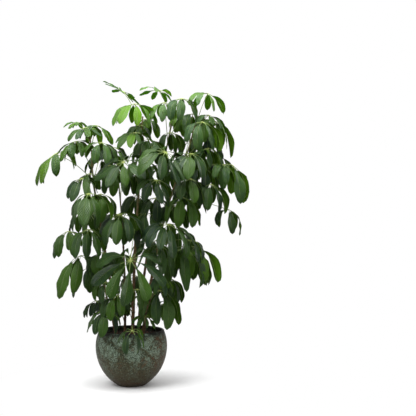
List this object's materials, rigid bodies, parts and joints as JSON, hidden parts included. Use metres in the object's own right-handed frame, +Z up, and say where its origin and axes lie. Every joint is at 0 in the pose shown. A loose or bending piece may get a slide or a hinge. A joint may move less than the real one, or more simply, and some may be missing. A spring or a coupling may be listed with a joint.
{
  "type": "potted schefflera plant",
  "caption": "Tall bushy indoor umbrella plant with slender woody stems and drooping glossy leaf rings, in a round bellied pot with a weathered green-grey glaze.",
  "frame": {"origin": "centre of the pot's foot, on the surface it stands on", "axes": "+Z up, -Y towards the plant's front, +X to the plant's right as seen from its front"},
  "size_m": [1.3807, 0.897, 2],
  "materials": {
    "pot_glaze": "satin",
    "potting_soil": "matte",
    "roots": "matte",
    "bark": "matte",
    "leaf": "satin"
  },
  "bodies": {
    "root": {"pot": "pot_glaze", "soil": "potting_soil", "root_ball": "roots", "stem_a": "bark", "stem_b": "bark", "stem_c": "bark", "stem_d": "bark", "stem_e": "bark", "stem_f": "bark", "stem_g": "bark", "leaf_rim": "leaf", "leaves_a_side": "leaf", "leaves_a_front": "leaf", "leaf_star": "leaf", "leaf_a07": "leaf", "leaves_a_mid": "leaf", "leaf_a09": "leaf", "leaves_a_high": "leaf", "leaves_a_tip": "leaf", "leaves_b_outer": "leaf", "leaf_b02": "leaf", "leaves_b_front": "leaf", "leaf_b04": "leaf", "leaf_b05": "leaf", "leaf_b06": "leaf", "leaf_b08": "leaf", "leaves_b_mid": "leaf", "leaf_b12": "leaf", "leaves_b_side": "leaf", "leaf_b14": "leaf", "leaf_b15": "leaf", "leaves_b_high": "leaf", "leaf_b19": "leaf", "leaf_b_tip": "leaf", "leaves_c_low": "leaf", "leaf_c02": "leaf", "leaf_c03": "leaf", "leaf_c05": "leaf", "leaves_c_mid": "leaf", "leaf_c08": "leaf", "leaf_c09": "leaf", "leaves_c_high": "leaf", "leaves_c_tip": "leaf", "leaves_d_low": "leaf", "leaves_d_high": "leaf", "leaves_e_tip": "leaf", "leaf_e02": "leaf", "leaves_e_side": "leaf", "leaves_f": "leaf", "leaves_g": "leaf", "leaves_inner_a": "leaf", "leaves_inner_b": "leaf", "leaves_inner_c": "leaf", "leaves_inner_d": "leaf", "leaves_inner_e": "leaf", "leaves_back_left": "leaf", "leaves_back_low": "leaf", "leaves_back_mid": "leaf", "leaves_back_right": "leaf", "leaves_back_top": "leaf"}
  },
  "joints": []
}
